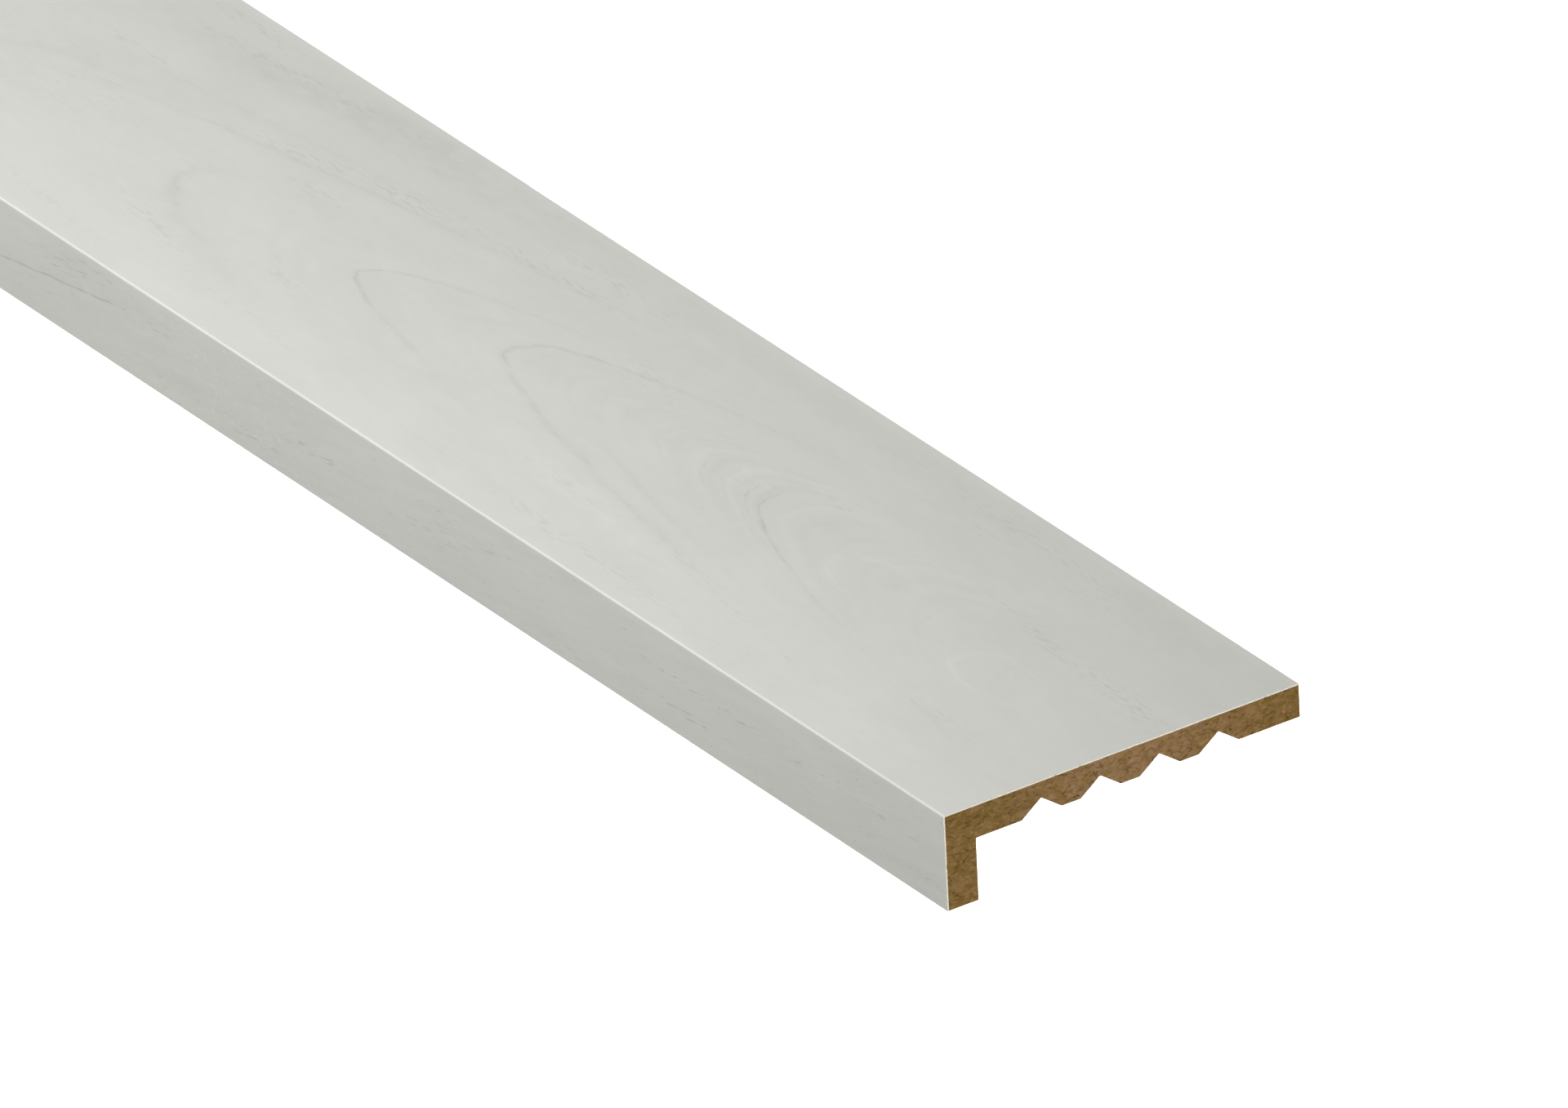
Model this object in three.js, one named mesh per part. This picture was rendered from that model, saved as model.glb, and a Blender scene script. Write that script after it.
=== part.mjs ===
// Foil-wrapped MDF cover strip: an L-shaped length with a wide face and a short leg.
//
// Frame, in millimetres: +X runs along the strip to the cut end that is seen first,
// +Y runs across from the leg to the free edge, and +Z points out of the wide face.
// The origin is on the back of the face, at mid-length, on the middle land between
// the grooves, which is where the strip is glued or nailed to what it covers.

import * as THREE from 'three';

// Driving sizes
const LENGTH = 400; // the length shown, cut square at both ends
const FACE_WIDTH = 80; // across the decor face, from outside the leg to the free edge
const DEPTH = 20; // from the decor face to the foot of the leg
const FACE_THICKNESS = 7; // board and foil together
const LEG_THICKNESS = 7; // board and foil together
const FOIL_THICKNESS = 0.3;
const BOARD_ARRIS = 0.15; // radius on the board where the foil turns down the leg
const ARC_STEPS = 4; // straight steps in the quarter round of the arris

// V-grooves along the back of the face, and the lands left beside them
const GROOVE_MOUTH = 9;
const GROOVE_DEPTH = 3.3;
const FIRST_LAND = 10.3; // from the inside of the leg to the first groove
const LAND = 4.3; // between two grooves
const EDGE_LAND = 10; // the least that is left beside the free edge

// Places and counts that follow from the sizes. BACK is the plane of the lands.
const BACK = 0;
const FACE = BACK + FACE_THICKNESS;
const FOOT = FACE - DEPTH;
const GROOVE_PITCH = GROOVE_MOUTH + LAND;
const GROOVED_WIDTH = FACE_WIDTH - LEG_THICKNESS - FIRST_LAND - EDGE_LAND;
const GROOVE_COUNT = Math.floor((GROOVED_WIDTH + LAND) / GROOVE_PITCH);
const MIDDLE_LAND = LEG_THICKNESS + FIRST_LAND
  + Math.floor(GROOVE_COUNT / 2) * GROOVE_PITCH - LAND / 2;
const LEG_OUTSIDE = -MIDDLE_LAND;
const LEG_INSIDE = LEG_OUTSIDE + LEG_THICKNESS;
const FREE_EDGE = LEG_OUTSIDE + FACE_WIDTH;

/** A point of the cross-section: y across the strip, z out of the face. */
function point(y, z) {
  return new THREE.Vector2(y, z);
}

/** Points of the wrapped outline, a depth below the foil's outer side, free edge first. */
function wrappedLine(depth) {
  const outerRadius = BOARD_ARRIS + FOIL_THICKNESS;
  const centre = point(LEG_OUTSIDE + outerRadius, FACE - outerRadius);
  const points = [point(FREE_EDGE, FACE - depth)];
  for (let step = 0; step <= ARC_STEPS; step += 1) {
    const angle = (Math.PI / 2) * (1 + step / ARC_STEPS);
    const turn = point(Math.cos(angle), Math.sin(angle)).multiplyScalar(outerRadius - depth);
    points.push(turn.add(centre));
  }
  points.push(point(LEG_OUTSIDE + depth, FOOT));
  return points;
}

/** The back of the face, from the leg's inside corner to the free edge, groove by groove. */
function groovedBack() {
  const points = [point(LEG_INSIDE, BACK)];
  for (let groove = 0; groove < GROOVE_COUNT; groove += 1) {
    const start = LEG_INSIDE + FIRST_LAND + groove * GROOVE_PITCH;
    points.push(point(start, BACK));
    points.push(point(start + GROOVE_MOUTH / 2, BACK + GROOVE_DEPTH));
    points.push(point(start + GROOVE_MOUTH, BACK));
  }
  points.push(point(FREE_EDGE, BACK));
  return points;
}

/** A closed outline run along the whole strip, from the far cut end to the near one. */
function runAlong(outline) {
  const geometry = new THREE.ExtrudeGeometry(new THREE.Shape(outline), {
    depth: LENGTH,
    bevelEnabled: false,
  });
  // The outline lies in x and y and runs along z: turn those to y, z and x.
  geometry.applyMatrix4(new THREE.Matrix4().makeBasis(
    new THREE.Vector3(0, 1, 0),
    new THREE.Vector3(0, 0, 1),
    new THREE.Vector3(1, 0, 0),
  ));
  geometry.translate(-LENGTH / 2, 0, 0);
  return geometry;
}

/** The board: the L with its grooves, covered by the foil on two sides. */
function mdfCore() {
  const outline = [
    ...wrappedLine(FOIL_THICKNESS),
    point(LEG_INSIDE, FOOT),
    ...groovedBack(),
  ];
  const board = new THREE.MeshStandardMaterial({ color: 0x84683f, roughness: 0.9, metalness: 0 });
  const mesh = new THREE.Mesh(runAlong(outline), board);
  mesh.name = 'mdf_core';
  return mesh;
}

/** The foil: a thin skin over the face, the arris and the outside of the leg. */
function decorFoil() {
  const outline = [
    ...wrappedLine(0),
    ...wrappedLine(FOIL_THICKNESS).reverse(),
  ];
  const decor = new THREE.MeshStandardMaterial({ color: 0xcfd0ca, roughness: 0.45, metalness: 0 });
  const mesh = new THREE.Mesh(runAlong(outline), decor);
  mesh.name = 'decor_foil';
  return mesh;
}

const strip = new THREE.Group();
strip.add(mdfCore(), decorFoil());

export default strip;
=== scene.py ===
# %% [markdown]
# # A foil-wrapped cover strip
#
# The real strip is a length of wood fibre board, milled to an L, with a printed foil wrapped
# over the wide face and down the outside of the leg. This lesson dresses its measured model:
# first the camera and the light, then the foil and its printed wood, then the bare board.

# %% Load the measured model
import math
import random
from collections import namedtuple

import bmesh
import bpy
import numpy as np
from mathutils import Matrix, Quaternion, Vector


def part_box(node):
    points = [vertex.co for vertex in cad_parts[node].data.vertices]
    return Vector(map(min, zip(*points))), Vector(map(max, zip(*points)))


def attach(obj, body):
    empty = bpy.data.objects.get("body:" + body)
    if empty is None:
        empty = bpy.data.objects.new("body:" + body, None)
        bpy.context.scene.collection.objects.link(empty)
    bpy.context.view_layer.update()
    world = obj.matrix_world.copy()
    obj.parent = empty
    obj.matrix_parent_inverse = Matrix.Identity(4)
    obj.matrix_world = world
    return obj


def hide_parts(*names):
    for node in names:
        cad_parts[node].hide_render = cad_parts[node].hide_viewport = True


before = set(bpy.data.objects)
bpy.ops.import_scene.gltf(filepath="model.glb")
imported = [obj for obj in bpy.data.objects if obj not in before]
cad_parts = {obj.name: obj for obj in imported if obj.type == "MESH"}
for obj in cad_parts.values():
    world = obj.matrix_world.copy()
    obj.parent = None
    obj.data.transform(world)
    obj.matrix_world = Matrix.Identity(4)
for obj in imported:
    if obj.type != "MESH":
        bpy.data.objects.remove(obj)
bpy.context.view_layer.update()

# %% [markdown]
# ## Places on the strip
#
# Everything is placed by the measured model, so nothing has to be fitted afterwards. X runs
# along the strip, Y runs from the leg to the free edge and Z comes out of the wide face. The
# boxes of the two measured pieces give the outer planes and the thickness of the foil, and
# the radius of the arris is read where the flat of the face stops.

# %% Read the planes of the strip
MM = 0.001
SAME_PLACE = 0.001 * MM
ON_PLANE = 0.01 * MM

foil_low, foil_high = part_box("decor_foil")
core_low, core_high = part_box("mdf_core")

far_end, near_end = foil_low.x, foil_high.x
leg_outside, free_edge = foil_low.y, foil_high.y
foot, face = foil_low.z, foil_high.z
foil_thickness = core_low.y - foil_low.y

foil_points = [vert.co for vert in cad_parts["decor_foil"].data.vertices]
flat_of_face = [point.y for point in foil_points if face - point.z < SAME_PLACE]
arris_radius = min(flat_of_face) - leg_outside
print("length %.0f mm, foil %.2f mm, arris radius %.2f mm"
      % ((near_end - far_end) / MM, foil_thickness / MM, arris_radius / MM))

# %% [markdown]
# ## Camera
#
# Product pictures of mouldings are drawn almost without perspective: the two long edges stay
# parallel. A very long lens far away does the same, and unlike an orthographic camera it still
# frames the whole strip when the camera is moved round it. The strip leans a little in the
# picture, so the camera is rolled by as much.

# %% Make the camera
CAMERA_AZIMUTH = 56.41
CAMERA_ELEVATION = 28.61
CAMERA_ROLL = 2.69
CAMERA_LENS = 1200.0
CAMERA_DISTANCE = 9.678
AIM_FROM_NEAR_END = 0.10096
AIM_FROM_ARRIS = 0.03470


def direction(azimuth, elevation):
    """The unit vector from the strip towards a place seen at these angles."""
    a, e = math.radians(azimuth), math.radians(elevation)
    return Vector((math.sin(a) * math.cos(e), -math.cos(a) * math.cos(e), math.sin(e)))


aim = Vector((near_end - AIM_FROM_NEAR_END, leg_outside + AIM_FROM_ARRIS, face))
towards_camera = direction(CAMERA_AZIMUTH, CAMERA_ELEVATION)
camera = bpy.data.objects.new("camera", bpy.data.cameras.new("camera"))
bpy.context.scene.collection.objects.link(camera)
camera.data.lens = CAMERA_LENS
camera.location = aim + towards_camera * CAMERA_DISTANCE
roll = Quaternion((0, 0, 1), -math.radians(CAMERA_ROLL))
camera.rotation_mode = "QUATERNION"
camera.rotation_quaternion = (-towards_camera).to_track_quat("-Z", "Y") @ roll
bpy.context.scene.camera = camera
print("camera at", [round(v, 3) for v in camera.location])

# %% [markdown]
# ## Helpers
#
# A few small helpers keep the later cells short. The first ones make a material's nodes and
# fill their inputs with values or with wires from other nodes, where an underscore stands for
# each space in an input's name. Two give the place of each point on its piece, since every
# pattern here is drawn by that. The last ones turn a finished bmesh into a piece and begin a
# new finish.


# %% Define the helpers
def plug(tree, inlet, value):
    """Gives an input a wire from another node, or a plain value."""
    if isinstance(value, bpy.types.NodeSocket):
        tree.links.new(value, inlet)
    else:
        inlet.default_value = value


def fill(tree, node, **inlets):
    """Fills a node's inputs by name."""
    for name, value in inlets.items():
        plug(tree, node.inputs[name.replace("_", " ")], value)


def wire(tree, kind, outlet=0, settings=None, **inlets):
    """Adds a node, sets it up, fills its inputs by name, and gives back one of its outputs."""
    node = tree.nodes.new(kind)
    for name, value in (settings or {}).items():
        setattr(node, name, value)
    fill(tree, node, **inlets)
    return node.outputs[outlet]


def calc(tree, operation, *values, clamp=False):
    """A Math node on numbers or wires, and its result."""
    node = tree.nodes.new("ShaderNodeMath")
    node.operation = operation
    node.use_clamp = clamp
    for inlet, value in zip(node.inputs, values):
        plug(tree, inlet, value)
    return node.outputs[0]


# A Mix node has sockets for each kind of value, and these are the ones for a share and colours.
COLOUR_INLETS = (0, 6, 7)
COLOUR_OUTLET = 2


def blend_colours(tree, share, first, second):
    """A colour between two, given as wires or values."""
    node = tree.nodes.new("ShaderNodeMix")
    node.data_type = "RGBA"
    for inlet, value in zip(COLOUR_INLETS, (share, first, second)):
        plug(tree, node.inputs[inlet], value)
    return node.outputs[COLOUR_OUTLET]


def own_place(tree):
    """The place of each point on its piece, in metres, as one wire."""
    return wire(tree, "ShaderNodeTexCoord", "Object")


def own_axes(tree):
    """The same place as three wires, for X, Y and Z."""
    split = tree.nodes.new("ShaderNodeSeparateXYZ")
    tree.links.new(own_place(tree), split.inputs[0])
    return split.outputs


def make_piece(name, shape, finishes):
    """Turns a bmesh into a piece that moves with the strip, with its finishes as slots."""
    mesh = bpy.data.meshes.new(name)
    shape.to_mesh(mesh)
    shape.free()
    for finish in finishes:
        mesh.materials.append(finish)
    piece = bpy.data.objects.new(name, mesh)
    bpy.context.scene.collection.objects.link(piece)
    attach(piece, "root")
    print(name, len(mesh.polygons), "faces")
    return piece


def new_finish(name):
    """An empty material with its shader, and the node tree that they sit in."""
    finish = bpy.data.materials.new(name)
    finish.use_nodes = True
    tree = finish.node_tree
    return finish, tree, tree.nodes["Principled BSDF"]


# %% [markdown]
# ## Floor and light
#
# The strip is shown as on a light table: white all round and without a shadow. A pale floor
# half a metre below catches the shadow out of sight, and it glows enough to be white. Left
# like that, it would also light the leg from below and make it as bright as the face. So the
# floor is hidden from the rays that light the strip, as a studio hides it with black cards.

# %% Make the floor
FLOOR_DROP = 0.5
FLOOR_REACH = 40.0
FLOOR_COLOUR = (0.9, 0.9, 0.9, 1)
FLOOR_GLOW = 0.9

floor_shape = bmesh.new()
bmesh.ops.create_grid(floor_shape, x_segments=1, y_segments=1, size=FLOOR_REACH)
bmesh.ops.translate(floor_shape, verts=floor_shape.verts, vec=(0, 0, foot - FLOOR_DROP))
floor_mesh = bpy.data.meshes.new("floor")
floor_shape.to_mesh(floor_mesh)
floor_shape.free()
floor = bpy.data.objects.new("floor", floor_mesh)
bpy.context.scene.collection.objects.link(floor)
floor.visible_diffuse = False
floor.visible_glossy = False
floor.visible_shadow = False

floor_finish, floor_tree, floor_shader = new_finish("floor")
fill(
    floor_tree, floor_shader, Base_Color=FLOOR_COLOUR, Roughness=1.0, Specular_IOR_Level=0.0,
    Emission_Color=(1, 1, 1, 1), Emission_Strength=FLOOR_GLOW,
)
floor_mesh.materials.append(floor_finish)
print("floor at %.3f m" % (foot - FLOOR_DROP))

# %% [markdown]
# The light has four parts. An even, dim sky fills the shadows, and the camera sees a white one
# in its place. A soft box a metre long hangs over the leg, near enough to make the face lighter
# beside the arris than at the free edge, and its reflection is the bright line that runs along
# the arris. It hangs over the far half, so the face grows a little darker towards the near end.
# A smaller box beyond the cut end lights the bare board and stays below the face, which it
# doesn't touch. The last one stands low behind the strip and does the same for the free edge,
# the back and the far end.

# %% Light the sky
SKY_COLOUR = (1, 1, 0.975, 1)
SKY_STRENGTH = 0.335
SEEN_SKY_STRENGTH = 1.1

scene = bpy.context.scene
scene.view_settings.view_transform = "Standard"
world = bpy.data.worlds.new("sky")
scene.world = world
world.use_nodes = True
sky = world.node_tree
sky_light = sky.nodes["Background"]
fill(sky, sky_light, Color=SKY_COLOUR, Strength=SKY_STRENGTH)
seen_sky = wire(sky, "ShaderNodeBackground", Color=(1, 1, 1, 1), Strength=SEEN_SKY_STRENGTH)
is_seen = wire(sky, "ShaderNodeLightPath", "Is Camera Ray")
both = sky.nodes.new("ShaderNodeMixShader")
for inlet, value in zip(both.inputs, (is_seen, sky_light.outputs[0], seen_sky)):
    plug(sky, inlet, value)
sky.links.new(both.outputs[0], sky.nodes["World Output"].inputs["Surface"])
print("sky", SKY_STRENGTH, "and as the camera sees it", SEEN_SKY_STRENGTH)


# %% Hang the soft boxes
def soft_box(name, place, towards, size, power, colour=(1, 1, 1)):
    """A rectangular soft light at a place, facing a point, that the camera doesn't see."""
    light = bpy.data.lights.new(name, "AREA")
    light.shape = "RECTANGLE"
    light.size, light.size_y = size
    light.energy = power
    light.color = colour
    lamp = bpy.data.objects.new(name, light)
    scene.collection.objects.link(lamp)
    lamp.location = place
    lamp.rotation_mode = "QUATERNION"
    lamp.rotation_quaternion = (Vector(towards) - Vector(place)).to_track_quat("-Z", "Y")
    lamp.visible_camera = False
    print(name, power, "W")


soft_box(
    "leg_box", place=(-0.175, -0.254, 0.309), towards=(-0.175, -0.03, 0),
    size=(1.095, 0.303), power=3.7, colour=(1.0, 1.0, 1.04),
)
soft_box("end_box", place=(0.8, 0.1, -0.15), towards=(near_end, 0, 0), size=(0.5, 0.4), power=2.6)
soft_box("back_box", place=(-0.75, 0.75, -0.35), towards=(-0.05, 0, 0), size=(1.2, 0.4), power=9.0)

# %% [markdown]
# ## The printed wood of the foil
#
# The foil is printed with flat-sawn wood. Where a board is sawn beside the heart of the tree,
# each growth ring comes out as a long arch, and the arches nest into each other. So the print
# isn't drawn line by line: a value is worked out that is the same all along one arch, namely
# how far from the near end the arch has its tip. It grows with the distance along the strip,
# and with the square of the distance from the middle of the arches. Soft noise bends it, as
# real growth does. Then each dark line is simply one value of it.


# %% Lay a map over the foil
def foil_map(tree):
    """Distance from the near end, and across from the arris, in millimetres, as two wires.

    The foil is measured as if it lay flat: what has turned down the leg counts below zero.
    """
    x, y, z = own_axes(tree)
    along = calc(tree, "MULTIPLY_ADD", x, -1 / MM, near_end / MM)
    over = calc(tree, "ADD", calc(tree, "ADD", y, z), -leg_outside - face)
    return along, calc(tree, "MULTIPLY", over, 1 / MM)


def flat_noise(tree, along, across, length, width, detail=2.0, roughness=0.5, shift=0.0):
    """Noise from -0.5 to 0.5 with blotches of about this length and width in millimetres."""
    spot = wire(
        tree, "ShaderNodeCombineXYZ",
        X=calc(tree, "DIVIDE", along, length),
        Y=calc(tree, "DIVIDE", across, width),
        Z=shift,
    )
    noise = wire(
        tree, "ShaderNodeTexNoise", settings={"noise_dimensions": "3D"},
        Vector=spot, Scale=1.0, Detail=detail, Roughness=roughness,
    )
    return calc(tree, "SUBTRACT", noise, 0.5)


def weigh(tree, start, *pairs):
    """A starting value plus several wires, each times its weight."""
    result = start
    for value, weight in pairs:
        result = calc(tree, "MULTIPLY_ADD", value, weight, result)
    return result


# %% [markdown]
# The arches get sharper half-way along, though only near their middle, and that middle wanders
# from side to side. Both depend on the arch itself, so they start from a first rough value. The
# slope says how fast the value changes from one millimetre to the next, and dividing by it
# gives every line the same true width, at the tip and along the arms.

# %% Work out the arches
PRINT_MIDDLE = 39.2
ARCH_WANDER = 7.3
ARCH_WANDER_LENGTH = 400.0
ARCH_WANDER_START = 121.0
BLUNT_ARCH = 0.135
SHARPER_BY = 0.16
SHARPEST_AT = 245.0
SHARP_STRETCH = 18.0
SHARP_REACH = 20.0
BENDS = [
    # blotch length and width, and how far they bend the arches, all in mm; and a shift that
    # makes each noise differ from the others
    (80, 26, 8, 3.1),
    (14, 5, 6, 8.7),
    (2.5, 1.2, 1.6, 5.2),
]


def hump(tree, value, half_width, power=1.0):
    """1 where a wire is 0, falling smoothly to nothing a few half widths away."""
    away = calc(tree, "DIVIDE", value, half_width)
    flat = calc(tree, "MULTIPLY_ADD", away, away, 1.0)
    return calc(tree, "POWER", flat, -power)


def above(tree, value, level, gain):
    """How far a wire rises above a level, as a share from 0 to 1."""
    return calc(tree, "MULTIPLY_ADD", value, gain, -level * gain, clamp=True)


def marks(tree, along, across, level, gain, **blotches):
    """Dashes or flecks: where a noise rises above a level, as a share from 0 to 1."""
    return above(tree, flat_noise(tree, along, across, **blotches), level, gain)


def arches(tree, along, across):
    """The tip distance of the arch through each point, how fast it changes, and the way aside."""
    aside = calc(tree, "SUBTRACT", across, PRINT_MIDDLE)
    square = calc(tree, "MULTIPLY", aside, aside)
    rough = calc(tree, "MULTIPLY_ADD", square, BLUNT_ARCH, along)
    turn = calc(tree, "MULTIPLY", calc(tree, "SUBTRACT", rough, ARCH_WANDER_START),
                2 * math.pi / ARCH_WANDER_LENGTH)
    middle = calc(tree, "MULTIPLY_ADD", calc(tree, "COSINE", turn), ARCH_WANDER, PRINT_MIDDLE)
    sharpest = hump(tree, calc(tree, "SUBTRACT", rough, SHARPEST_AT), SHARP_STRETCH)
    sharpest = calc(tree, "MULTIPLY", sharpest, hump(tree, square, SHARP_REACH**2))
    sharpness = calc(tree, "MULTIPLY_ADD", sharpest, SHARPER_BY, BLUNT_ARCH)
    aside = calc(tree, "SUBTRACT", across, middle)
    lean = calc(tree, "MULTIPLY", sharpness, aside)
    tip = calc(tree, "MULTIPLY_ADD", lean, aside, along)
    bends = [
        (flat_noise(tree, along, across, length, width, shift=shift), amount)
        for length, width, amount, shift in BENDS
    ]
    bent = weigh(tree, tip, *bends)
    twice_lean = calc(tree, "MULTIPLY", lean, 2)
    slope = calc(tree, "SQRT", calc(tree, "MULTIPLY_ADD", twice_lean, twice_lean, 1))
    return bent, slope, aside


# %% [markdown]
# Growth rings aren't evenly spaced or equally dark: a dry summer leaves a thin, dark one. So
# the few that show are named by the place of their tips. The cut doesn't run quite straight
# through the tree, so a ring shows best on one side of its arch and fades away from there,
# and growing fainter it also grows softer. A soft shade lies inside it, on the side of the
# near end. One arm has a pale line beside it, so its darkness is below zero.

# %% Name the growth rings
Ring = namedtuple("Ring", "tip best_at reach darkness half_width shade")
GROWTH_RINGS = [
    # the tip, where across the arch it shows best, and how far from there, all in mm;
    # how dark its line is, the line's half width in mm, and how dark the shade inside it is
    Ring(105.5, -4, 8, 0.15, 0.7, 0.08),
    Ring(121.5, -7, 9, 1.20, 0.28, 0.20),
    Ring(126.5, -4, 7, 0.80, 0.34, 0.05),
    Ring(133, -4, 8, 0.30, 0.55, 0.08),
    Ring(140, -4, 9, 0.30, 0.50, 0.08),
    Ring(150, -5, 9, 0.15, 0.9, 0.05),
    Ring(178, -17, 7, 0.40, 0.5, 0.05),
    Ring(199, 3, 15, 1.10, 0.40, 0.20),
    Ring(199, -18, 9, 0.45, 0.5, 0.0),
    Ring(218, -25, 7, -0.25, 2.0, 0.0),
    Ring(241.5, 0, 14, 1.05, 0.36, 0.18),
    Ring(265, -8, 7, 0.30, 0.9, 0.08),
    Ring(295.5, -4, 11, 0.60, 1.4, 0.22),
    Ring(345, 20, 12, 0.45, 0.50, 0.10),
    Ring(358.5, 7, 9, 0.40, 0.9, 0.10),
    Ring(383, 24, 10, 0.22, 0.6, 0.08),
    Ring(422, 31, 9, 0.40, 0.5, 0.05),
]
LINE_SOFTENS = 0.07
LINE_FALL = 1.5
FADE_FALL = 2.0
SHADE_REACH = 26.0
print(len(GROWTH_RINGS), "rings, with tips from", GROWTH_RINGS[0].tip, "to", GROWTH_RINGS[-1].tip, "mm")


def growth_lines(tree, tip, slope, aside):
    """How dark the rings make each point, and how much soft shade lies there."""
    dark = 0.0
    shade = 0.0
    for ring in GROWTH_RINGS:
        gap = calc(tree, "SUBTRACT", tip, ring.tip)
        from_best = calc(tree, "SUBTRACT", aside, ring.best_at)
        fade = hump(tree, from_best, ring.reach, FADE_FALL)
        spread = calc(tree, "MULTIPLY_ADD", calc(tree, "ABSOLUTE", from_best), LINE_SOFTENS, 1.0)
        half_width = calc(tree, "MULTIPLY", spread, ring.half_width)
        line = hump(tree, calc(tree, "DIVIDE", gap, slope), half_width, LINE_FALL)
        dark = calc(tree, "MULTIPLY_ADD", line, calc(tree, "MULTIPLY", fade, ring.darkness), dark)
        inside = calc(tree, "MULTIPLY_ADD", gap, 1 / SHADE_REACH, 1.0, clamp=True)
        edge = calc(tree, "MULTIPLY", calc(tree, "LESS_THAN", gap, 0.0), ring.shade)
        shade = calc(tree, "MULTIPLY_ADD", inside, calc(tree, "MULTIPLY", edge, fade), shade)
    return dark, shade


# %% [markdown]
# Near the cut end the saw has just skimmed the wood, which leaves two pale closed loops. Each
# is an oval whose rim is bent by noise and broken here and there, and it shows best at the tip
# that points away from the near end.

# %% Close the pale loops
PALE_LOOPS = [
    # the centre along and across, half length and half width, all in mm
    (36, 38, 12, 6.0),
    (79, 41, 14, 6.5),
]
LOOP_RIPPLE = 0.5
LOOP_LINE = 0.11
AT_FAR_TIP = 0.55


def oval(tree, lengthwise, crosswise, half_length, half_width):
    """How far forward a point lies in an oval, and the square of how far out: 1 on the rim."""
    forward = calc(tree, "DIVIDE", lengthwise, half_length)
    sideways = calc(tree, "DIVIDE", crosswise, half_width)
    square = calc(tree, "MULTIPLY", sideways, sideways)
    return forward, calc(tree, "MULTIPLY_ADD", forward, forward, square)


def loop_lines(tree, along, across):
    """The pale lines of the closed loops, brightest at their far tips and bent by noise."""
    pale = 0.0
    noise = flat_noise(tree, along, across, length=12, width=5, shift=7.7)
    ripple = calc(tree, "MULTIPLY", noise, LOOP_RIPPLE)
    for centre_along, centre_across, half_length, half_width in PALE_LOOPS:
        lengthwise = calc(tree, "SUBTRACT", along, centre_along)
        crosswise = calc(tree, "SUBTRACT", across, centre_across)
        forward, square = oval(tree, lengthwise, crosswise, half_length, half_width)
        gap = calc(tree, "SUBTRACT", calc(tree, "ADD", calc(tree, "SQRT", square), ripple), 1.0)
        at_tip = calc(tree, "MULTIPLY_ADD", forward, AT_FAR_TIP, AT_FAR_TIP)
        pale = calc(tree, "MULTIPLY_ADD", hump(tree, gap, LOOP_LINE, FADE_FALL), at_tip, pale)
    unbroken = marks(tree, along, across, level=-0.25, gain=4.0, length=9, width=4, shift=1.7)
    return calc(tree, "MULTIPLY", pale, unbroken)


# %% [markdown]
# Between the rings the wood's vessels show as short fine dashes. They aren't spread evenly:
# they crowd in long narrow patches beside the arms of the arches, and in a few rows on the
# leg, and they are rare elsewhere. A patch leans a little, as the arm beside it does.

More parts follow.
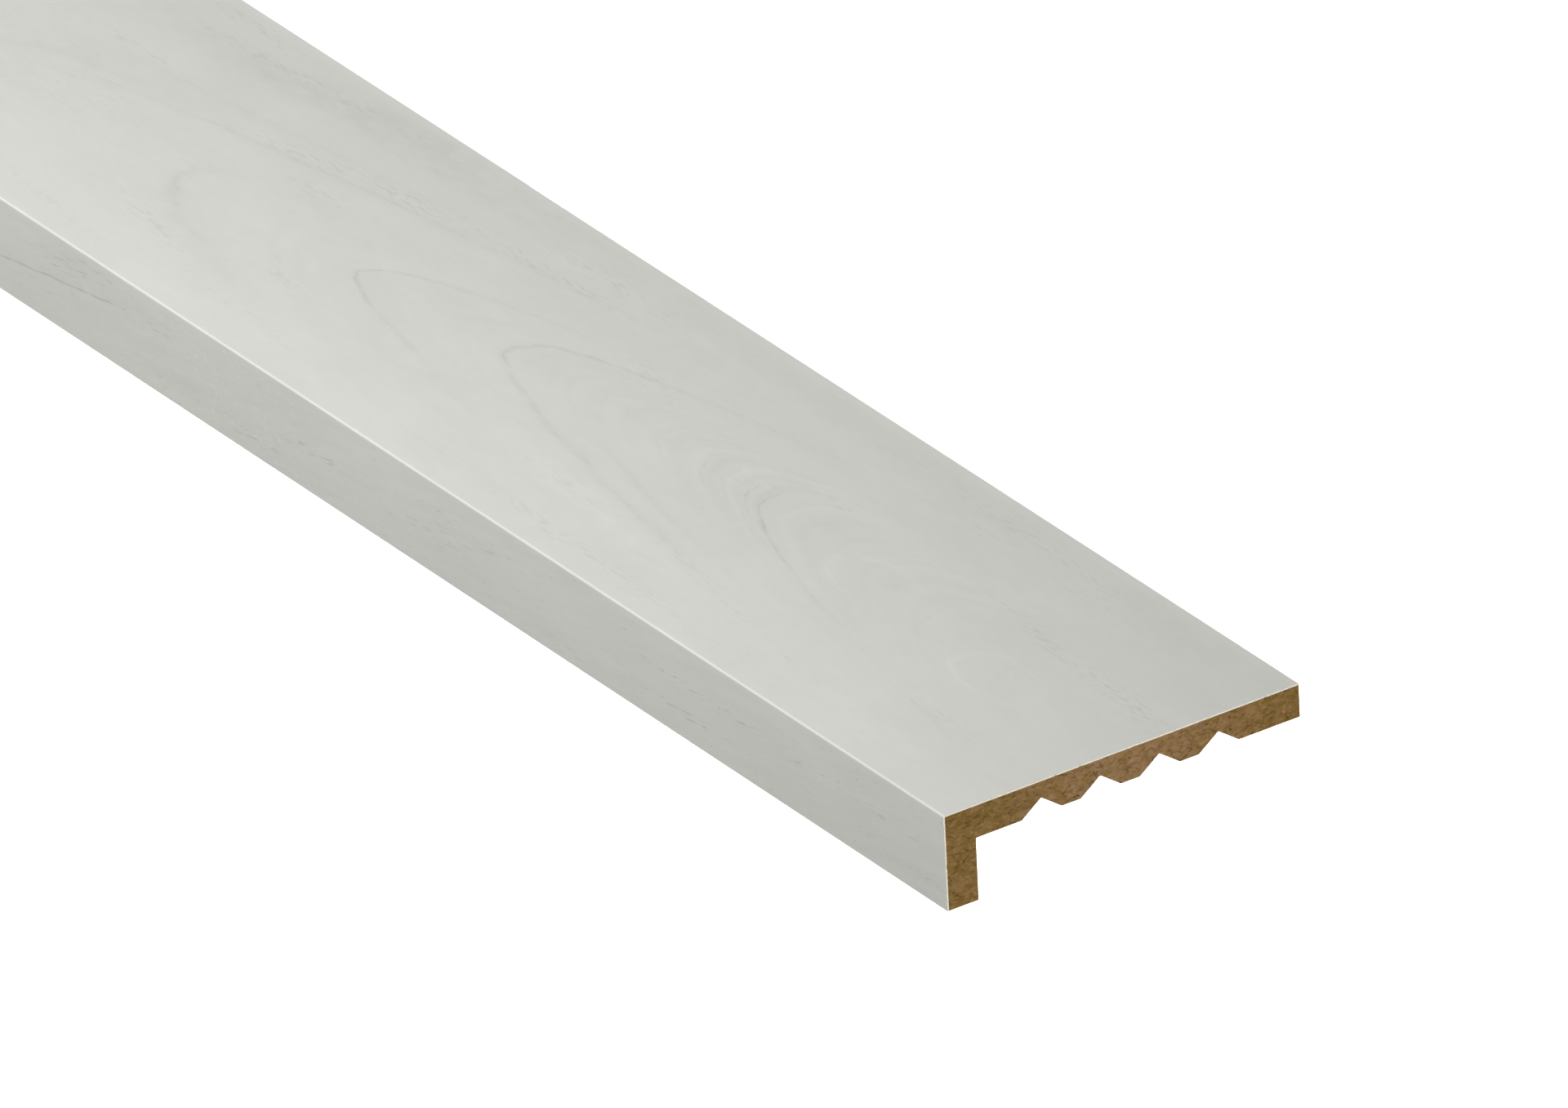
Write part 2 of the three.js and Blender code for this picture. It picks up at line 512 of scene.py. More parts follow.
# %% Crowd the vessels
Patch = namedtuple("Patch", "along across half_length half_width lean density")
CROWDED = [
    # the centre along and across, where the leg counts below zero, half length and half width,
    # all in mm; the way across for each mm along; and how closely the vessels stand
    Patch(13, 51.4, 26, 2.2, 0.05, 0.9),
    Patch(4, 48.6, 7, 0.9, 0.03, 0.9),
    Patch(43, 53.2, 11, 1.8, 0.15, 1.0),
    Patch(63, 55.4, 12, 1.4, 0.05, 0.5),
    Patch(33, 22.4, 13, 3.5, 0.05, 0.4),
    Patch(61, 11.5, 14, 1.0, 0.05, 0.4),
    Patch(86, 14.5, 12, 1.2, 0.15, 0.6),
    Patch(111, 18.9, 16, 1.8, 0.15, 0.5),
    Patch(109, 53.2, 6, 1.0, 0.08, 1.0),
    Patch(53, 68.5, 11, 3.5, 0.0, 0.40),
    Patch(86, 68.9, 16, 2.0, 0.0, 0.35),
    Patch(75, 73.8, 40, 2.4, 0.0, 0.5),
    Patch(128, 6.4, 50, 1.8, 0.04, 0.6),
    Patch(150, 18.4, 16, 2.0, 0.08, 0.5),
    Patch(172, 54.5, 14, 3.0, 0.1, 0.55),
    Patch(208, 70.2, 22, 3.0, 0.0, 0.6),
    Patch(220, 63.5, 26, 1.8, -0.06, 0.9),
    Patch(260, 59.0, 12, 2.2, -0.1, 1.1),
    Patch(286, 54.2, 16, 2.4, -0.2, 0.7),
    Patch(283, 16.9, 18, 2.2, 0.15, 0.7),
    Patch(248, 23.4, 10, 1.4, 0.0, 0.6),
    Patch(243, 9.8, 22, 2.0, 0.05, 0.35),
    Patch(273, 47.6, 12, 2.5, -0.1, 0.5),
    Patch(341, 54.0, 16, 1.2, -0.05, 0.55),
    Patch(294, 52.6, 6, 1.1, -0.15, 0.9),
    Patch(335, 42.0, 4, 0.8, 0.0, 1.0),
    Patch(344, 45.9, 8, 1.0, -0.05, 0.6),
    Patch(308, 7.3, 22, 1.5, 0.1, 0.5),
    Patch(335, 36.1, 24, 10.0, 0.0, 0.25),
    Patch(311, 71.4, 40, 1.4, -0.09, 0.85),
    Patch(331, 75.6, 22, 2.0, 0.0, 0.6),
    Patch(8, -16.0, 9, 0.8, 0.0, 1.1),
    Patch(84, -14.8, 18, 0.9, -0.04, 1.0),
    Patch(18, -8.8, 18, 0.9, 0.0, 0.6),
    Patch(75, -8.3, 36, 0.9, 0.0, 0.8),
    Patch(123, -17.5, 12, 2.0, 0.0, 0.5),
    Patch(150, -8.1, 10, 1.8, -0.1, 0.6),
    Patch(164, -11.1, 12, 3.5, -0.1, 0.5),
    Patch(165, -6.4, 8, 0.9, -0.1, 1.0),
    Patch(206, -11.0, 10, 0.9, -0.05, 1.1),
    Patch(225, -16.2, 9, 1.5, 0.0, 0.9),
    Patch(256, -5.7, 10, 1.3, -0.1, 0.9),
    Patch(282, -4.3, 14, 3.0, -0.1, 0.7),
]
print(len(CROWDED), "patches of vessels")


def crowding(tree, along, across):
    """How closely the vessels stand, from 0 to about 1."""
    crowd = 0.0
    for patch in CROWDED:
        lengthwise = calc(tree, "SUBTRACT", along, patch.along)
        leant = calc(tree, "MULTIPLY_ADD", lengthwise, -patch.lean, across)
        crosswise = calc(tree, "SUBTRACT", leant, patch.across)
        _, square = oval(tree, lengthwise, crosswise, patch.half_length, patch.half_width)
        near = calc(tree, "POWER", calc(tree, "ADD", square, 1.0), -FADE_FALL)
        crowd = calc(tree, "MAXIMUM", calc(tree, "MULTIPLY", near, patch.density), crowd)
    return crowd


# %% [markdown]
# Where the sheet has turned down the leg, another part of the tree shows: no arches, only
# flecks that slant down a little as they run away from the near end, some of them nearly
# black, one long thin line in the far half, and a stretch with small pale marks before it.

# %% Print the leg
LEG_SLANT = 0.14
LEG_TONE = 0.045
LEG_CLOUDS = 0.20
LEG_TICKS = 0.30
FLECKS_IN_ROWS = 0.55
FLECKS_ELSEWHERE = 0.10
LEG_LINE = 0.52
LEG_LINE_HALF = 0.18
LEG_LINE_DEPTH = 6.8
LEG_LINE_FROM = 269.0
LEG_LINE_TO = 345.0
LINE_STARTS_OVER = 5.0
LINE_ENDS_OVER = 20.0
LEG_PALE = -0.14
LEG_PALE_AT = 230.0
LEG_PALE_HALF = 34.0


def leg_line(tree, along, slanted):
    """The long thin line of the leg: where it runs, how it is worn, and where it ends."""
    wiggle = flat_noise(tree, along, slanted, length=8, width=8, detail=3, shift=16.0)
    on_line = calc(tree, "ADD", slanted, LEG_LINE_DEPTH - LEG_SLANT * LEG_LINE_FROM)
    line = hump(tree, calc(tree, "ADD", on_line, wiggle), LEG_LINE_HALF, LINE_FALL)
    worn = marks(tree, along, slanted, level=-0.1875, gain=4.0, length=4, width=5, shift=17.0)
    begun = above(tree, along, LEG_LINE_FROM, 1 / LINE_STARTS_OVER)
    not_ended = above(tree, along, LEG_LINE_TO, -1 / LINE_ENDS_OVER)
    line = calc(tree, "MULTIPLY", line, worn)
    return calc(tree, "MULTIPLY", line, calc(tree, "MULTIPLY", begun, not_ended))


def leg_print(tree, along, across, crowd):
    """How dark the print of the leg is at each point."""
    slanted = calc(tree, "MULTIPLY_ADD", along, LEG_SLANT, across)
    clouds = flat_noise(
        tree, along, slanted, length=22, width=2.2, detail=4, roughness=0.6, shift=13.0,
    )
    flecks = marks(
        tree, along, slanted, level=0.07, gain=8.0, length=4.5, width=0.50, detail=1, shift=12.0,
    )
    rarely = marks(
        tree, along, slanted, level=0.0, gain=5.0, length=18, width=4, detail=1, shift=15.0,
    )
    ticks = marks(
        tree, along, slanted, level=0.27, gain=14.0, length=1.6, width=0.5, detail=0, shift=14.0,
    )
    pale = marks(
        tree, along, slanted, level=0.14, gain=8.0, length=1.6, width=0.9, detail=0, shift=21.0,
    )
    flecked = weigh(tree, 0.0, (rarely, FLECKS_ELSEWHERE), (crowd, FLECKS_IN_ROWS))
    skimmed = hump(tree, calc(tree, "SUBTRACT", along, LEG_PALE_AT), LEG_PALE_HALF, FADE_FALL)
    return weigh(
        tree, LEG_TONE,
        (calc(tree, "MULTIPLY", pale, skimmed), LEG_PALE),
        (clouds, LEG_CLOUDS),
        (calc(tree, "MULTIPLY", flecks, flecked), 1.0),
        (ticks, LEG_TICKS),
        (leg_line(tree, along, slanted), LEG_LINE),
    )


# %% [markdown]
# Under the rings and the vessels lie broad cloudy shades, faint short streaks and fine fibres.
# The print is very pale, so each of these changes the colour by a few hundredths only. Faint
# bands follow the arches, plainest among the small ones before the first large arch. Towards
# the free edge a painted shade first makes the foil a little darker, and then a painted
# highlight lies pale along the very rim.

# %% Shade the print
Layer = namedtuple("Layer", "length width detail roughness shift strength")
CLOUDS = Layer(34, 13, 3, 0.55, 1.0, 0.20)
MOTTLE = Layer(7, 3, 3, 0.6, 18.0, 0.10)
STREAKS = Layer(14, 1.2, 3, 0.6, 2.0, 0.05)
FINE_FIBRES = Layer(3, 0.4, 2, 0.5, 4.0, 0.04)

BAND_SPACING = 5.0
BANDS_HALF_WIDTH = 14.0
BANDS_BEST_AT = 130.0
BANDS_REACH = 26.0
BANDS_BEST = 0.28
BANDS_ELSEWHERE = 0.07
# A painted shade in a band beside the free edge, and a painted highlight along its rim.
PAINTED_EDGE_SHADE = 0.035
PAINTED_EDGE_SHADE_AT = 73.0
PAINTED_EDGE_SHADE_HALF = 5.0
PAINTED_EDGE_SHADE_BEST_AT = 70.0
PAINTED_EDGE_SHADE_REACH = 110.0
PAINTED_RIM_HIGHLIGHT = -0.08
PAINTED_RIM_HIGHLIGHT_FROM = 77.0
PAINTED_RIM_HIGHLIGHT_RISE = 0.4


def layer_noise(tree, along, across, layer):
    """The noise of one soft layer of the print."""
    return flat_noise(
        tree, along, across, layer.length, layer.width, layer.detail, layer.roughness, layer.shift,
    )


def growth_bands(tree, tip, aside):
    """Faint bands that follow the arches."""
    banding = wire(
        tree, "ShaderNodeTexNoise", settings={"noise_dimensions": "1D"},
        W=calc(tree, "DIVIDE", tip, BAND_SPACING), Scale=1.0, Detail=3.0,
    )
    best = hump(tree, calc(tree, "SUBTRACT", tip, BANDS_BEST_AT), BANDS_REACH)
    strength = calc(tree, "MULTIPLY_ADD", best, BANDS_BEST, BANDS_ELSEWHERE)
    here = calc(tree, "MULTIPLY", hump(tree, aside, BANDS_HALF_WIDTH, FADE_FALL), strength)
    return calc(tree, "MULTIPLY", calc(tree, "SUBTRACT", banding, 0.5), here)


def painted_edge_shade_and_highlight(tree, along, across):
    """The painted shade in a band beside the free edge, and the painted highlight on the rim, which
    counts below zero.
    """
    painted_shade = hump(tree, calc(tree, "SUBTRACT", across, PAINTED_EDGE_SHADE_AT), PAINTED_EDGE_SHADE_HALF, FADE_FALL)
    strongest = hump(tree, calc(tree, "SUBTRACT", along, PAINTED_EDGE_SHADE_BEST_AT), PAINTED_EDGE_SHADE_REACH)
    # The rim's painted highlight.
    rim = above(tree, across, PAINTED_RIM_HIGHLIGHT_FROM, PAINTED_RIM_HIGHLIGHT_RISE)
    return weigh(tree, 0.0, (calc(tree, "MULTIPLY", painted_shade, strongest), PAINTED_EDGE_SHADE), (rim, PAINTED_RIM_HIGHLIGHT))


# %% [markdown]
# The finish puts it together. Each part counts by its strength, where one below zero makes the
# print paler, and their sum blends two greys. The satin comes from a roughness that varies a
# little, and a shallow bump follows the dashes, as they are embossed in the real foil.

# %% Mix the decor finish
DECOR_LIGHT = (0.575, 0.580, 0.534, 1)
DECOR_DARK = (0.300, 0.290, 0.250, 1)
GROUND_TONE = 0.125
RING_LINES = 0.25
RING_SHADES = 0.13
PALE_LOOP_LINES = -0.075
CROWDED_VESSELS = 0.25
STRAY_VESSELS = 0.012
SPECKS = 0.25
LINE_VARIES_BY = 3.2
LINE_ON_AVERAGE = 0.90
LINE_AT_LEAST = 0.15
LINE_AT_MOST = 1.25
LEG_SHARE_PER_MM = 0.6
EMBOSS_DEPTH = 0.02 * MM
SATIN_ROUGHNESS = 0.44
SATIN_VARIES_BY = 0.15


def decor_finish():
    finish, tree, shader = new_finish("wood_decor")
    along, across = foil_map(tree)
    on_leg = above(tree, across, 0.0, -LEG_SHARE_PER_MM)
    on_face = calc(tree, "SUBTRACT", 1.0, on_leg)
    tip, slope, aside = arches(tree, along, across)
    lines, shade = growth_lines(tree, tip, slope, aside)
    noise = flat_noise(tree, along, across, length=5, width=2.2, shift=9.0)
    broken = calc(tree, "MULTIPLY_ADD", noise, LINE_VARIES_BY, LINE_ON_AVERAGE)
    broken = calc(tree, "MINIMUM", calc(tree, "MAXIMUM", broken, LINE_AT_LEAST), LINE_AT_MOST)
    fine = layer_noise(tree, along, across, FINE_FIBRES)
    dashes = marks(
        tree, along, across, level=0.02, gain=8.0, length=3.2, width=0.75, detail=1, shift=6.0,
    )
    specks = marks(
        tree, along, across, level=0.36, gain=20.0, length=1.0, width=0.7, detail=0, shift=19.0,
    )
    crowd = crowding(tree, along, across)
    vessels = calc(tree, "MULTIPLY_ADD", crowd, CROWDED_VESSELS, STRAY_VESSELS)
    vessels = calc(tree, "MULTIPLY", dashes, vessels)
    layers = [
        (layer_noise(tree, along, across, layer), layer.strength)
        for layer in (CLOUDS, MOTTLE, STREAKS)
    ]
    dark = weigh(
        tree, GROUND_TONE,
        (calc(tree, "MULTIPLY", lines, broken), RING_LINES),
        (shade, RING_SHADES),
        # The painted shade beside the free edge and the painted highlight on its rim.
        (painted_edge_shade_and_highlight(tree, along, across), 1.0),
        (loop_lines(tree, along, across), PALE_LOOP_LINES),
        *layers,
        (fine, FINE_FIBRES.strength),
        (growth_bands(tree, tip, aside), 1.0),
        (calc(tree, "MULTIPLY", vessels, on_face), 1.0),
        (specks, SPECKS),
        (calc(tree, "MULTIPLY", leg_print(tree, along, across, crowd), on_leg), 1.0),
    )
    bump = wire(
        tree, "ShaderNodeBump", Strength=0.15, Distance=EMBOSS_DEPTH,
        Height=calc(tree, "SUBTRACT", fine, dashes),
    )
    noise = flat_noise(tree, along, across, length=8, width=8, shift=20.0)
    satin = calc(tree, "MULTIPLY_ADD", noise, SATIN_VARIES_BY, SATIN_ROUGHNESS)
    fill(
        tree, shader, Base_Color=blend_colours(tree, dark, DECOR_LIGHT, DECOR_DARK),
        Normal=bump, Roughness=satin, Specular_IOR_Level=0.25,
    )
    print("wood_decor", len(tree.nodes), "nodes")
    return finish


# %% [markdown]
# Where the saw has cut through it, the foil shows its own body: a cream film with the glue
# under it, lighter than the print.

# %% Mix the foil's cut edge
FOIL_BODY_PALE = (0.86, 0.800, 0.680, 1)
FOIL_BODY_DARK = (0.66, 0.585, 0.470, 1)
FOIL_BODY_GRAIN = 0.8 * MM
GLUE_ABOVE = 0.36
GLUE_GAIN = 2.5


def foil_body_finish():
    finish, tree, shader = new_finish("foil_body")
    noise = wire(
        tree, "ShaderNodeTexNoise", Vector=own_place(tree), Scale=1 / FOIL_BODY_GRAIN, Detail=2.0,
    )
    share = above(tree, noise, GLUE_ABOVE, GLUE_GAIN)
    body = blend_colours(tree, share, FOIL_BODY_PALE, FOIL_BODY_DARK)
    fill(tree, shader, Base_Color=body, Roughness=0.6)
    print("foil_body", len(tree.nodes), "nodes")
    return finish


# %% [markdown]
# ## The foil
#
# One sheet: it starts as three points of the cross-section, is run along the strip, and is
# bent round the arris by a bevel. The saw leaves the cut edge of the foil a little ragged, so
# the sheet gets close rows across near both ends, whose last row is moved back by a few
# hundredths of a millimetre, and more where a chip has broken out. Then it gets its thickness.

# %% Fold the sheet
ARRIS_STEPS = 8

sheet = bmesh.new()
section = [(free_edge, face), (leg_outside, face), (leg_outside, foot)]
corners = [sheet.verts.new((far_end, y, z)) for y, z in section]
for first, second in zip(corners, corners[1:]):
    sheet.edges.new((first, second))
run = bmesh.ops.extrude_edge_only(sheet, edges=sheet.edges[:])
moved = [part for part in run["geom"] if isinstance(part, bmesh.types.BMVert)]
bmesh.ops.translate(sheet, verts=moved, vec=(near_end - far_end, 0, 0))


def runs_along(edge):
    """Whether an edge lies along the strip."""
    first, second = (vert.co for vert in edge.verts)
    return (first - second).yz.length < SAME_PLACE


def lies_at(edge, y, z):
    """Whether an edge runs along the strip at this place of the cross-section."""
    return runs_along(edge) and (edge.verts[0].co.yz - Vector((y, z))).length < ON_PLANE


bmesh.ops.bevel(
    sheet, geom=[edge for edge in sheet.edges if lies_at(edge, leg_outside, face)],
    offset=arris_radius, offset_type="OFFSET", affect="EDGES", segments=ARRIS_STEPS,
    profile=0.5, material=-1,
)
bmesh.ops.recalc_face_normals(sheet, faces=sheet.faces)
if sum(part.normal.z for part in sheet.faces) < 0:
    bmesh.ops.reverse_faces(sheet, faces=sheet.faces)
print("folded sheet", len(sheet.faces), "faces")

# %% [markdown]
# A bisect with no side removed is a plain knife cut. Run once for each row, it divides the
# sheet where detail is needed and nowhere else.


# %% Cut the rows
def knife(shape, place, across, parts=None):
    """Cuts a shape, or only some of its faces, along the plane through a place."""
    parts = shape.faces[:] if parts is None else parts
    edges = {edge for part in parts for edge in part.edges}
    verts = {vert for part in parts for vert in part.verts}
    bmesh.ops.bisect_plane(
        shape, geom=[*parts, *edges, *verts], plane_co=place, plane_no=across, dist=SAME_PLACE / 2,
    )


def steps(low, high, step):
    """Places strictly between two ends, a step apart, centred between them."""
    count = int((high - low) / step)
    start = (low + high - (count - 1) * step) / 2
    return [start + index * step for index in range(count)]


FOIL_STEP = 0.4 * MM
END_ROWS = (0.12 * MM, 0.35 * MM, 0.8 * MM)
for x in [edge_x for row in END_ROWS for edge_x in (near_end - row, far_end + row)]:
    knife(sheet, (x, 0, 0), (1, 0, 0))
for y in steps(leg_outside + arris_radius, free_edge, FOIL_STEP):
    knife(sheet, (0, y, 0), (0, 1, 0))
for z in steps(foot, face - arris_radius, FOIL_STEP):
    knife(sheet, (0, 0, z), (0, 0, 1))
print("cut sheet", len(sheet.faces), "faces")

# %% Rag the sawn edge and thicken the foil
CHIPS_PER_END = 7
RAG = 0.05 * MM
CHIP_DEPTH = 0.22 * MM
CHIP_WIDTH = 0.45 * MM
CHIP_SIZES = (0.4, 1.0)
CHIP_SEED = 11

chance = random.Random(CHIP_SEED)


def unrolled(vert):
    """The place of a foil vertex across the flat foil, from the arris."""
    return (vert.co.y - leg_outside) + (vert.co.z - face)


for end_x, inward in ((near_end, -1), (far_end, 1)):
    rim = [vert for vert in sheet.verts if abs(vert.co.x - end_x) < SAME_PLACE]
    chips = [
        (chance.uniform(foot - face, free_edge - leg_outside), chance.uniform(*CHIP_SIZES))
        for _ in range(CHIPS_PER_END)
    ]
    for vert in rim:
        near_chip = max(
            size * max(0.0, 1 - abs(unrolled(vert) - place) / (CHIP_WIDTH * size))
            for place, size in chips
        )
        vert.co.x += inward * (chance.random() * RAG + near_chip * CHIP_DEPTH)

bmesh.ops.solidify(sheet, geom=sheet.faces[:], thickness=foil_thickness)
bmesh.ops.recalc_face_normals(sheet, faces=sheet.faces)
print("foil %.3f mm thick, %d faces" % (foil_thickness / MM, len(sheet.faces)))

# %% [markdown]
# The decor is on the outer side only. The rim and the glued side take the cream of the film,
# and only the bend is shaded smooth, so that the flats stay flat right up to it.

# %% Dress the foil
MOSTLY = 0.5

bend_centre = Vector((leg_outside + arris_radius, face - arris_radius))
for part in sheet.faces:
    middle = part.calc_center_median()
    on_face = abs(middle.z - face) < ON_PLANE and part.normal.z > MOSTLY
    on_leg = abs(middle.y - leg_outside) < ON_PLANE and part.normal.y < -MOSTLY
    in_bend = middle.y < bend_centre.x and middle.z > bend_centre.y
    outer = (middle.yz - bend_centre).length > arris_radius - foil_thickness / 2
    on_bend = in_bend and outer and abs(part.normal.x) < MOSTLY
    part.material_index = 0 if on_face or on_leg or on_bend else 1
    part.smooth = on_bend

foil = make_piece("foil", sheet, [decor_finish(), foil_body_finish()])
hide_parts("decor_foil")

# %% [markdown]
# ## The board
#
# The board's shape is taken over from the measured solid: a copy of it is merged and its flat
# faces are joined, which leaves clean long edges. A milling cutter is never quite sharp, so
# the edges that the foil doesn't cover get a small round.

# %% Copy and soften the board
CUTTER_ROUND = 0.18 * MM
CUTTER_STEPS = 3
FLAT_WITHIN = math.radians(1)
COVERED_WITHIN = 1.0 * MM

board = bmesh.new()
board.from_mesh(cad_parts["mdf_core"].data)
bmesh.ops.remove_doubles(board, verts=board.verts, dist=SAME_PLACE)
bmesh.ops.dissolve_limit(
    board, angle_limit=FLAT_WITHIN, verts=board.verts[:], edges=board.edges[:],
)


def is_bare(edge):
    """Whether an edge runs along the strip and lies away from the foil."""
    place = edge.verts[0].co
    below_foil = place.z < core_high.z - COVERED_WITHIN
    inside_foil = place.y > core_low.y + COVERED_WITHIN
    return runs_along(edge) and below_foil and inside_foil


bare_edges = [edge for edge in board.edges if is_bare(edge)]
bmesh.ops.bevel(
    board, geom=bare_edges, offset=CUTTER_ROUND, offset_type="OFFSET", affect="EDGES",
    segments=CUTTER_STEPS, profile=0.5, material=-1,
)
print("softened", len(bare_edges), "edges,", len(board.faces), "faces")

# %% [markdown]
# A saw doesn't leave fibre board smooth: it tears some fibres out and leaves others standing.
# Two rows are cut off behind each end, so that the long faces stay plain, and the cut end is
# sliced into cells of 0.15 mm, so that single fibres can be raised in it. The upright cuts
# come first, while there are few faces, and then the level ones.

# %% Slice the sawn ends
CELL = 0.15 * MM
BOARD_ROWS = (0.3 * MM, 1.0 * MM)


def sawn_faces():
    """The faces of the board's two cut ends."""
    return [part for part in board.faces if abs(part.normal.x) > 0.9]


for x in [edge_x for row in BOARD_ROWS for edge_x in (near_end - row, far_end + row)]:
    knife(board, (x, 0, 0), (1, 0, 0))
for y in steps(core_low.y, core_high.y, CELL):
    knife(board, (0, y, 0), (0, 1, 0), [
        part for part in sawn_faces()
        if min(v.co.y for v in part.verts) < y < max(v.co.y for v in part.verts)
    ])
for z in steps(core_low.z, core_high.z, CELL):
    knife(board, (0, 0, z), (0, 0, 1), [
        part for part in sawn_faces()
        if min(v.co.z for v in part.verts) < z < max(v.co.z for v in part.verts)
    ])
print("sawn ends", len(sawn_faces()), "cells")

# %% [markdown]
# The fibres are strewn at random, most of them lying level, as they do in a pressed board.
# Each is a short bowed stroke. The same strokes do two jobs: they move the surface inwards by
# up to a tenth of a millimetre, and they are kept as an attribute that the finish reads, so
# that a torn hollow also gets a painted shade and a standing fibre a painted light, over the
# darker and paler colours of the fibres themselves.

# %% Strew the fibres
FIBRES = 3600
FIBRE_LENGTH = (0.7 * MM, 3.0 * MM)
FIBRE_WIDTH = (0.08 * MM, 0.18 * MM)
FIBRE_TILT = 38.0
FIBRE_BOW = 1.3
FIBRE_STRENGTHS = (-1.3, -1.0, -0.7, -0.5, 0.4, 0.6, 0.8)
FIBRE_SEEDS = (21, 22)
DEEPEST = 1.6
RELIEF = 0.035 * MM


def strew(points, seed):
    """The sum of all fibre strokes at each point of a cut end, from torn to standing."""
    dice = random.Random(seed)
    field = np.zeros(len(points))
    for _ in range(FIBRES):
        y = dice.uniform(core_low.y, core_high.y)
        z = dice.uniform(core_low.z, core_high.z)
        tilt = math.radians(dice.gauss(0, FIBRE_TILT))
        half = dice.uniform(*FIBRE_LENGTH) / 2
        width = dice.uniform(*FIBRE_WIDTH)
        bow = dice.uniform(-FIBRE_BOW, FIBRE_BOW) / (2 * half)
        strength = dice.choice(FIBRE_STRENGTHS)
        dy, dz = points[:, 0] - y, points[:, 1] - z
        close = np.abs(dy) + np.abs(dz) < 2 * half
        dy, dz = dy[close], dz[close]
        lengthwise = dy * math.cos(tilt) + dz * math.sin(tilt)
        sideways = dz * math.cos(tilt) - dy * math.sin(tilt) - bow * lengthwise**2
        ends = np.clip(1 - (lengthwise / half) ** 2, 0, 1)
        field[close] += strength * ends * np.exp(-((sideways / width) ** 2))
    return np.clip(field, -DEEPEST, DEEPEST)


fibre_layer = board.verts.layers.float.new("fibre")
for end_x, outward, seed in zip((near_end, far_end), (1, -1), FIBRE_SEEDS):
    rim = [vert for vert in board.verts if abs(vert.co.x - end_x) < SAME_PLACE]
    field = strew(np.array([vert.co.yz for vert in rim]), seed)
    for vert, height in zip(rim, field):
        vert.co.x += outward * RELIEF * (float(height) - DEEPEST)
        vert[fibre_layer] = float(height)
    print("end at %.1f: fibre strokes from %.2f to %.2f" % (end_x, field.min(), field.max()))


# %% [markdown]
# Bare fibre board is brown with olive and reddish patches, redder in the middle of the face
# than at its edges. On the sawn end the patches are crossed by the fibres, with specks of dark
# bark here and there. Right under the foil the glue has soaked in and made a thin greyish
# seam.

# %% Mix the sawn finish
BOARD_OLIVE = (0.188, 0.110, 0.023, 1)
BOARD_RED = (0.280, 0.166, 0.076, 1)
FIBRE_DARK = (0.075, 0.036, 0.005, 1)
FIBRE_PALE = (0.440, 0.285, 0.130, 1)
BARK = (0.030, 0.022, 0.014, 1)
GLUE_SEAM = (0.155, 0.145, 0.120, 1)
SEAM_DEPTH = 0.22
RED_HALF_WIDTH = 34 * MM
RED_IN_MIDDLE = 0.9
PATCH_CONTRAST = 2.6
PATCH_LEVEL = -1.35
TORN_AND_PAINTED_SHADE = -0.42
STANDING_AND_PAINTED_LIGHT = 0.30


def board_noise(tree, size, detail=3.0, stretch=(1, 1, 1), distortion=0.0):
    """Noise from 0 to 1 with grains of about this size, longer along a stretched axis."""
    scale = [1 / (size * s) for s in stretch]
    spot = wire(tree, "ShaderNodeMapping", Vector=own_place(tree), Scale=scale)
    return wire(
        tree, "ShaderNodeTexNoise", Vector=spot, Scale=1.0, Detail=detail, Distortion=distortion,
    )


def sprinkle(tree, ground, colour, strength, level, gain, **grain):
    """The ground with a colour blended in wherever a noise rises above a level."""
    spots = above(tree, board_noise(tree, **grain), level, gain)
    return blend_colours(tree, calc(tree, "MULTIPLY", spots, strength), ground, colour)


def under_foil(tree):
    """1 at the foil's inner side, falling to 0 a seam's depth inside the board."""
    _, y, z = own_axes(tree)
    below = calc(tree, "MULTIPLY_ADD", z, -1 / MM, core_high.z / MM)
    inside = calc(tree, "MULTIPLY_ADD", y, 1 / MM, -core_low.y / MM)
    nearest = calc(tree, "MINIMUM", below, inside)
    return calc(tree, "MULTIPLY_ADD", nearest, -1 / SEAM_DEPTH, 1.0, clamp=True)


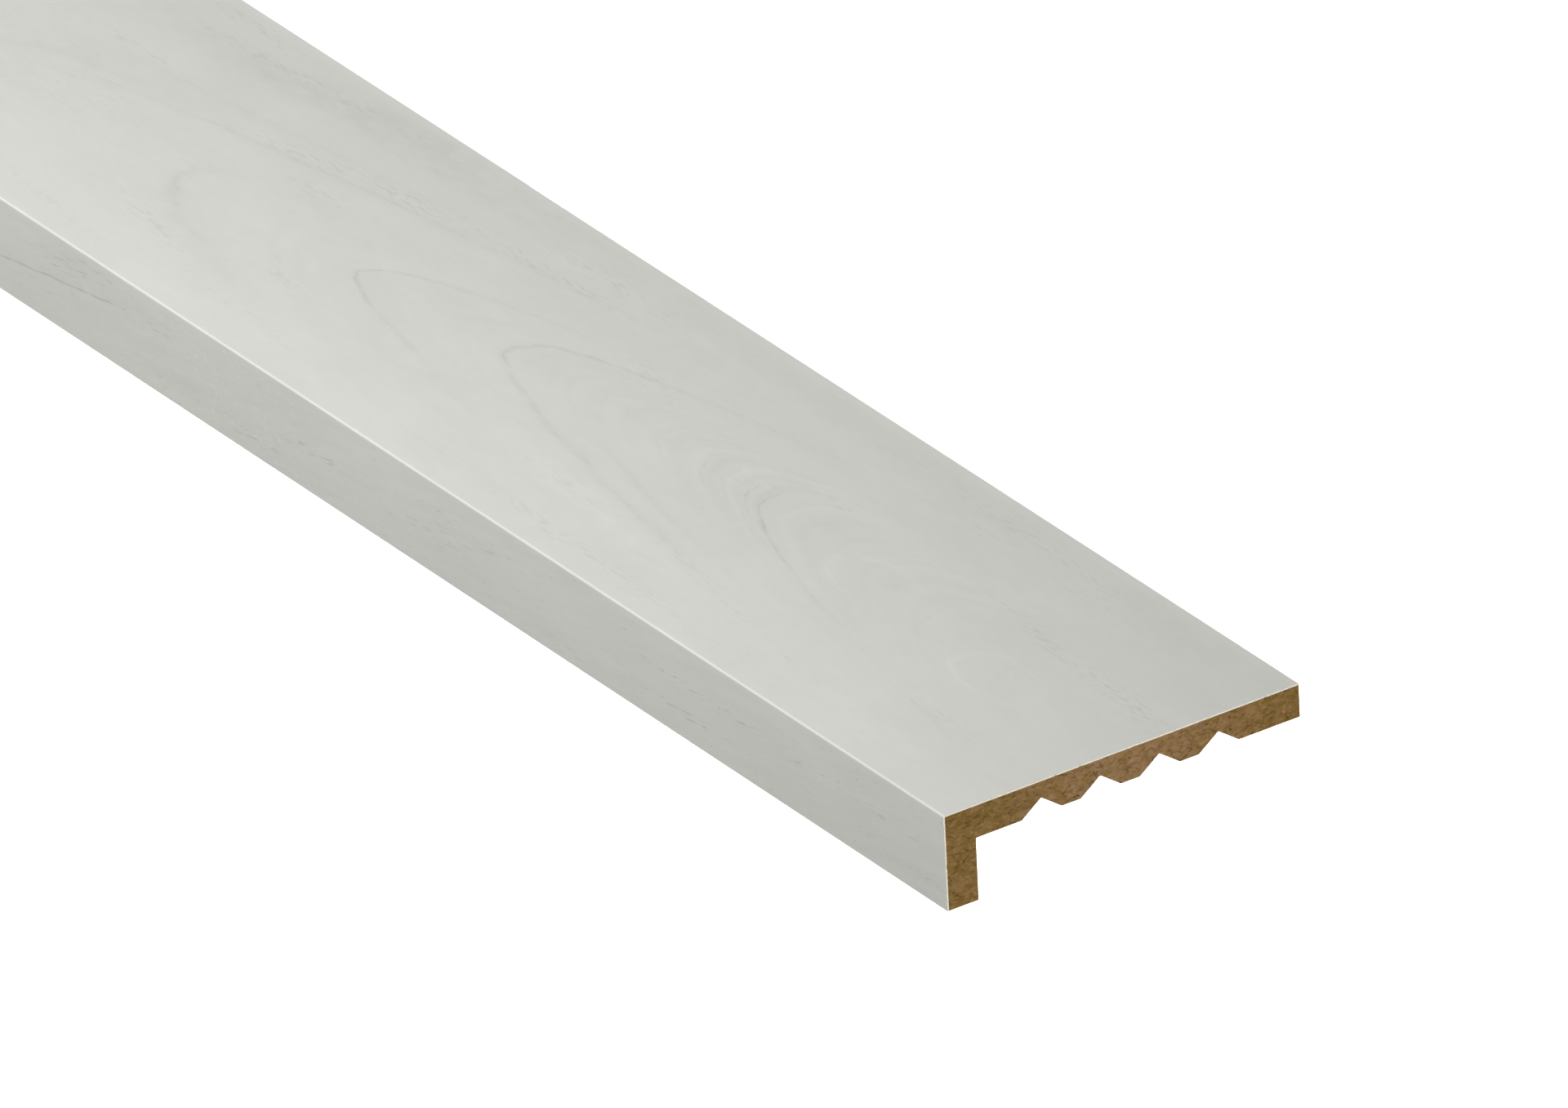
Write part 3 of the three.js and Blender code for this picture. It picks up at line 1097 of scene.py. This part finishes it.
def sawn_finish():
    finish, tree, shader = new_finish("sawn_board")
    _, across, _ = own_axes(tree)
    redder = hump(tree, across, RED_HALF_WIDTH, FADE_FALL)
    redness = calc(tree, "MULTIPLY_ADD", redder, RED_IN_MIDDLE, PATCH_LEVEL)
    small = board_noise(tree, size=1.8 * MM, stretch=(1, 1.6, 1), distortion=0.6)
    patches = calc(tree, "MULTIPLY_ADD", small, PATCH_CONTRAST, redness, clamp=True)
    ground = blend_colours(tree, patches, BOARD_OLIVE, BOARD_RED)
    ground = sprinkle(
        tree, ground, FIBRE_DARK, strength=0.20, level=0.54, gain=6.0,
        size=0.5 * MM, detail=2.0, stretch=(1, 2.4, 1), distortion=1.6,
    )
    # Pale specks: partly pale fibres, partly small painted glints of light on the sawn board.
    ground = sprinkle(
        tree, ground, FIBRE_PALE, strength=0.18, level=0.62, gain=8.0,
        size=0.4 * MM, detail=1.0, stretch=(1, 1.8, 1), distortion=1.0,
    )
    fibre = wire(tree, "ShaderNodeAttribute", "Fac", settings={"attribute_name": "fibre"})
    # Torn hollows get a painted shade and standing fibres a painted light, over the fibres' own
    # colours.
    torn = calc(tree, "MULTIPLY", fibre, TORN_AND_PAINTED_SHADE, clamp=True)
    standing = calc(tree, "MULTIPLY", fibre, STANDING_AND_PAINTED_LIGHT, clamp=True)
    ground = blend_colours(tree, torn, ground, FIBRE_DARK)
    ground = blend_colours(tree, standing, ground, FIBRE_PALE)
    ground = sprinkle(
        tree, ground, BARK, strength=1.0, level=0.80, gain=20.0,
        size=0.55 * MM, detail=0.0, stretch=(1, 1.5, 1),
    )
    soaked = calc(tree, "MULTIPLY", under_foil(tree), board_noise(tree, 4 * MM, detail=1.0))
    ground = blend_colours(tree, soaked, ground, GLUE_SEAM)
    bump = wire(
        tree, "ShaderNodeBump", Strength=0.4, Distance=0.05 * MM,
        Height=board_noise(tree, 0.3 * MM, detail=2.0, stretch=(1, 2, 1)),
    )
    fill(tree, shader, Base_Color=ground, Normal=bump, Roughness=0.9, Specular_IOR_Level=0.2)
    print("sawn_board", len(tree.nodes), "nodes")
    return finish


# %% [markdown]
# The milled sides are smoother and a little lighter, with faint lines along the strip where
# the cutter ran. One noise is stretched sixty times along the strip and makes the lines, and
# another one, hardly stretched, makes the short flecks between them.

# %% Mix the milled finish
MILLED_DARK = (0.215, 0.135, 0.050, 1)
MILLED_PALE = (0.330, 0.222, 0.108, 1)
MILLED_CONTRAST = 1.2
MILLED_LEVEL = -0.7


def milled_finish():
    finish, tree, shader = new_finish("milled_board")
    streaks = board_noise(tree, 0.5 * MM, detail=4.0, stretch=(60, 1, 1))
    flecks = board_noise(tree, 0.4 * MM, detail=3.0, stretch=(3, 1, 1))
    both_noises = calc(tree, "ADD", streaks, flecks)
    share = calc(tree, "MULTIPLY_ADD", both_noises, MILLED_CONTRAST, MILLED_LEVEL, clamp=True)
    bump = wire(tree, "ShaderNodeBump", Strength=0.3, Distance=0.04 * MM, Height=both_noises)
    colour = blend_colours(tree, share, MILLED_DARK, MILLED_PALE)
    fill(tree, shader, Base_Color=colour, Normal=bump, Roughness=0.85)
    print("milled_board", len(tree.nodes), "nodes")
    return finish


# %% Dress the board
for part in board.faces:
    part.material_index = 0 if abs(part.normal.x) > MOSTLY else 1
    part.smooth = False

core = make_piece("board", board, [sawn_finish(), milled_finish()])
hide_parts("mdf_core")
